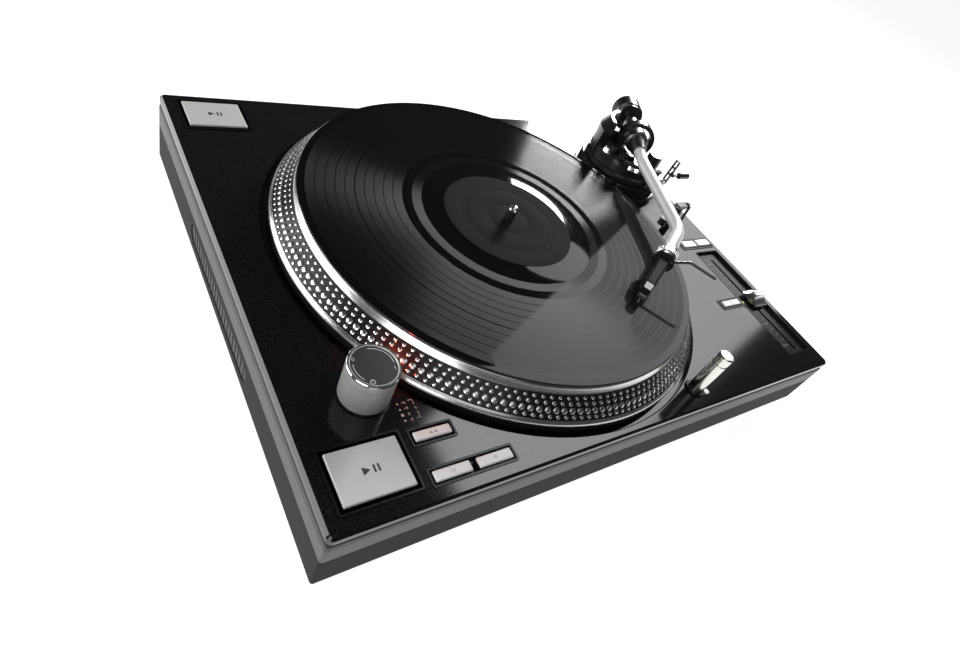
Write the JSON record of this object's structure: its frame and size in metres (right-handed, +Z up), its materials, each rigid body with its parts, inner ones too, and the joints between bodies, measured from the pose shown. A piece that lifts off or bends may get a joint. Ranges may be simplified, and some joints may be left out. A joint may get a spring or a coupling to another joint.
{
  "type": "turntable record player",
  "caption": "Direct-drive disc-jockey turntable with a strobe-dotted platter, an S-shaped tonearm, a pitch fader, start keys and a pop-up lamp.",
  "frame": {"origin": "centre of the base, on the surface that the feet stand on", "axes": "+X towards the tonearm side, +Y to the rear, +Z up"},
  "size_m": [0.453, 0.353, 0.1315],
  "materials": {
    "deck_gloss_black": "gloss black with fine metallic speckle",
    "casing_grey": "matte grey",
    "cover_black": "matte",
    "steel": "zinc plated",
    "inlay_grey": "matte, ribbed",
    "nickel": "nickel plated",
    "circuit_board": "solder mask",
    "transformer": "laminated",
    "coil_copper": "enamelled copper",
    "brass": "turned",
    "frame_black": "gloss",
    "green_lens": "translucent",
    "red_lens": "translucent",
    "gunmetal": "brushed, anodised",
    "arm_black": "satin black",
    "platter_aluminium": "machined; black strobe band",
    "slipmat_felt": "felt",
    "vinyl": "gloss, grooved",
    "label_paper": "printed paper",
    "chrome": "polished",
    "magnet": "ferrite",
    "satin_silver": "satin",
    "satin_silver_dark": "satin",
    "rubber_black": "soft",
    "tube_silver": "satin",
    "cartridge_black": "matte",
    "white_plastic": "gloss",
    "finger_black": "satin",
    "weight_black": "black oxide, satin",
    "foot_rubber": "matte",
    "button_silver": "brushed"
  },
  "bodies": {
    "chassis": {"top_plate": "deck_gloss_black", "upper_casing": "casing_grey", "lower_casing": "casing_grey", "bottom_cover": "cover_black", "case_screws": "steel", "side_inlay": "inlay_grey", "terminal_panel": "cover_black", "output_sockets": "nickel", "ground_post": "nickel", "mains_inlet": "cover_black", "main_board": "circuit_board", "power_supply": "transformer", "motor_stator": "coil_copper", "bearing_housing": "brass", "start_button_frames": "frame_black", "small_button_frames": "frame_black", "fader_panel": "frame_black", "fader_unit": "steel", "centre_led": "green_lens", "strobe_tower": "gunmetal", "strobe_lens": "red_lens", "arm_flange": "arm_black", "arm_rest": "arm_black"},
    "platter": {"platter": "platter_aluminium", "slipmat": "slipmat_felt", "record": "vinyl", "record_label": "label_paper", "spindle": "chrome", "rotor_magnet": "magnet"},
    "foot_front_left": {"foot_front_left": "foot_rubber"},
    "foot_front_right": {"foot_front_right": "foot_rubber"},
    "foot_rear_left": {"foot_rear_left": "foot_rubber"},
    "foot_rear_right": {"foot_rear_right": "foot_rubber"},
    "start_button_front": {"start_button_front": "button_silver"},
    "start_button_rear": {"start_button_rear": "button_silver"},
    "speed_33_button": {"speed_33_button": "button_silver"},
    "speed_45_button": {"speed_45_button": "button_silver"},
    "reverse_button": {"reverse_button": "button_silver"},
    "range_button_left": {"range_button_left": "button_silver"},
    "range_button_right": {"range_button_right": "button_silver"},
    "reset_button": {"reset_button": "button_silver"},
    "lamp_button": {"lamp_button": "satin_silver"},
    "fader_cap": {"fader_cap": "satin_silver"},
    "power_knob": {"power_knob": "gunmetal"},
    "target_lamp": {"target_lamp": "chrome"},
    "height_ring": {"height_ring": "arm_black"},
    "arm_base": {"arm_base": "arm_black"},
    "lift_arc": {"lift_arc": "rubber_black"},
    "cue_lever": {"cue_lever": "arm_black"},
    "antiskate_knob": {"antiskate_knob": "arm_black"},
    "gimbal_yoke": {"gimbal_yoke": "arm_black"},
    "tonearm": {"bearing_block": "satin_silver_dark", "arm_tube": "tube_silver", "cartridge": "cartridge_black", "stylus": "white_plastic", "finger_lift": "finger_black"},
    "locking_collar": {"locking_collar": "chrome"},
    "counterweight": {"counterweight": "weight_black"},
    "force_dial": {"force_dial": "weight_black"},
    "arm_clip": {"arm_clip": "arm_black"}
  },
  "joints": [
    {"name": "platter_spin", "type": "hinge", "parent": "chassis", "child": "platter", "pos_m": [-0.0295, -0.0018, 0.07], "axis": [0, 0, 1], "continuous": true},
    {"name": "foot_front_left_screw", "type": "slide", "parent": "chassis", "child": "foot_front_left", "axis": [0, 0, 1], "range_m": [-0.004, 0]},
    {"name": "foot_front_right_screw", "type": "slide", "parent": "chassis", "child": "foot_front_right", "axis": [0, 0, 1], "range_m": [-0.004, 0]},
    {"name": "foot_rear_left_screw", "type": "slide", "parent": "chassis", "child": "foot_rear_left", "axis": [0, 0, 1], "range_m": [-0.004, 0]},
    {"name": "foot_rear_right_screw", "type": "slide", "parent": "chassis", "child": "foot_rear_right", "axis": [0, 0, 1], "range_m": [-0.004, 0]},
    {"name": "start_button_front_press", "type": "slide", "parent": "chassis", "child": "start_button_front", "axis": [0, 0, 1], "range_m": [-0.0012, 0], "stiffness_N_per_m": 400, "springref_m": 0.0015},
    {"name": "start_button_rear_press", "type": "slide", "parent": "chassis", "child": "start_button_rear", "axis": [0, 0, 1], "range_m": [-0.0012, 0], "stiffness_N_per_m": 400, "springref_m": 0.0015},
    {"name": "speed_33_button_press", "type": "slide", "parent": "chassis", "child": "speed_33_button", "axis": [0, 0, 1], "range_m": [-0.0012, 0], "stiffness_N_per_m": 400, "springref_m": 0.0015},
    {"name": "speed_45_button_press", "type": "slide", "parent": "chassis", "child": "speed_45_button", "axis": [0, 0, 1], "range_m": [-0.0012, 0], "stiffness_N_per_m": 400, "springref_m": 0.0015},
    {"name": "reverse_button_press", "type": "slide", "parent": "chassis", "child": "reverse_button", "axis": [0, 0, 1], "range_m": [-0.0012, 0], "stiffness_N_per_m": 400, "springref_m": 0.0015},
    {"name": "range_button_left_press", "type": "slide", "parent": "chassis", "child": "range_button_left", "axis": [0, 0, 1], "range_m": [-0.0012, 0], "stiffness_N_per_m": 400, "springref_m": 0.0015},
    {"name": "range_button_right_press", "type": "slide", "parent": "chassis", "child": "range_button_right", "axis": [0, 0, 1], "range_m": [-0.0012, 0], "stiffness_N_per_m": 400, "springref_m": 0.0015},
    {"name": "reset_button_press", "type": "slide", "parent": "chassis", "child": "reset_button", "axis": [0, 0, 1], "range_m": [-0.0012, 0], "stiffness_N_per_m": 400, "springref_m": 0.0015},
    {"name": "lamp_button_press", "type": "slide", "parent": "chassis", "child": "lamp_button", "axis": [0, 0, 1], "range_m": [-0.0012, 0], "stiffness_N_per_m": 400, "springref_m": 0.0015},
    {"name": "pitch_fader_slide", "type": "slide", "parent": "chassis", "child": "fader_cap", "axis": [0, 1, 0], "range_m": [-0.05, 0.05]},
    {"name": "power_turn", "type": "hinge", "parent": "chassis", "child": "power_knob", "pos_m": [-0.1815, -0.106, 0.092], "axis": [0, 0, 1], "range_deg": [-40, 0]},
    {"name": "target_lamp_slide", "type": "slide", "parent": "chassis", "child": "target_lamp", "axis": [0, 0, 1], "range_m": [-0.034, 0]},
    {"name": "height_ring_turn", "type": "hinge", "parent": "chassis", "child": "height_ring", "pos_m": [0.1688, 0.0813, 0.08], "axis": [0, 0, 1], "range_deg": [0, 180]},
    {"name": "arm_base_rise", "type": "slide", "parent": "chassis", "child": "arm_base", "axis": [0, 0, 1], "range_m": [0, 0.006]},
    {"name": "cue_lever_turn", "type": "hinge", "parent": "arm_base", "child": "cue_lever", "pos_m": [0.1818, 0.0403, 0.096], "axis": [1, 0, 0], "range_deg": [0, 50]},
    {"name": "lift_arc_rise", "type": "slide", "parent": "arm_base", "child": "lift_arc", "axis": [0, 0, 1], "range_m": [0, 0.0025]},
    {"name": "antiskate_turn", "type": "hinge", "parent": "arm_base", "child": "antiskate_knob", "pos_m": [0.1818, 0.0593, 0.105], "axis": [0, 0, 1], "range_deg": [0, 270]},
    {"name": "arm_yaw", "type": "hinge", "parent": "arm_base", "child": "gimbal_yoke", "pos_m": [0.1688, 0.0813, 0.114], "axis": [0, 0, 1], "range_deg": [-15, 18.7]},
    {"name": "arm_pitch", "type": "hinge", "parent": "gimbal_yoke", "child": "tonearm", "pos_m": [0.1688, 0.0813, 0.114], "axis": [-0.8536, 0.521, 0], "range_deg": [0, 2.5]},
    {"name": "locking_collar_turn", "type": "hinge", "parent": "tonearm", "child": "locking_collar", "pos_m": [0.06106, -0.07601, 0.114], "axis": [-0.8526, -0.5225, 0], "range_deg": [0, 40]},
    {"name": "counterweight_slide", "type": "slide", "parent": "tonearm", "child": "counterweight", "axis": [-0.521, -0.8536, 0], "range_m": [-0.004, 0.004]},
    {"name": "force_dial_turn", "type": "hinge", "parent": "counterweight", "child": "force_dial", "pos_m": [0.19224, 0.11971, 0.114], "axis": [-0.521, -0.8536, 0], "range_deg": [-180, 180]},
    {"name": "arm_clip_swing", "type": "hinge", "parent": "chassis", "child": "arm_clip", "pos_m": [0.1651, -0.009, 0.107], "axis": [0, -1, 0], "range_deg": [0, 175]}
  ],
  "couplings": [
    {"joint": "arm_base_rise", "follows": "height_ring_turn", "m_per_rad": 0.0019097},
    {"joint": "cue_lever_turn", "follows": "lift_arc_rise", "rad_per_m": 349.03},
    {"joint": "arm_pitch", "follows": "lift_arc_rise", "rad_per_m": 17.452},
    {"joint": "force_dial_turn", "follows": "counterweight_slide", "rad_per_m": 785.32}
  ]
}
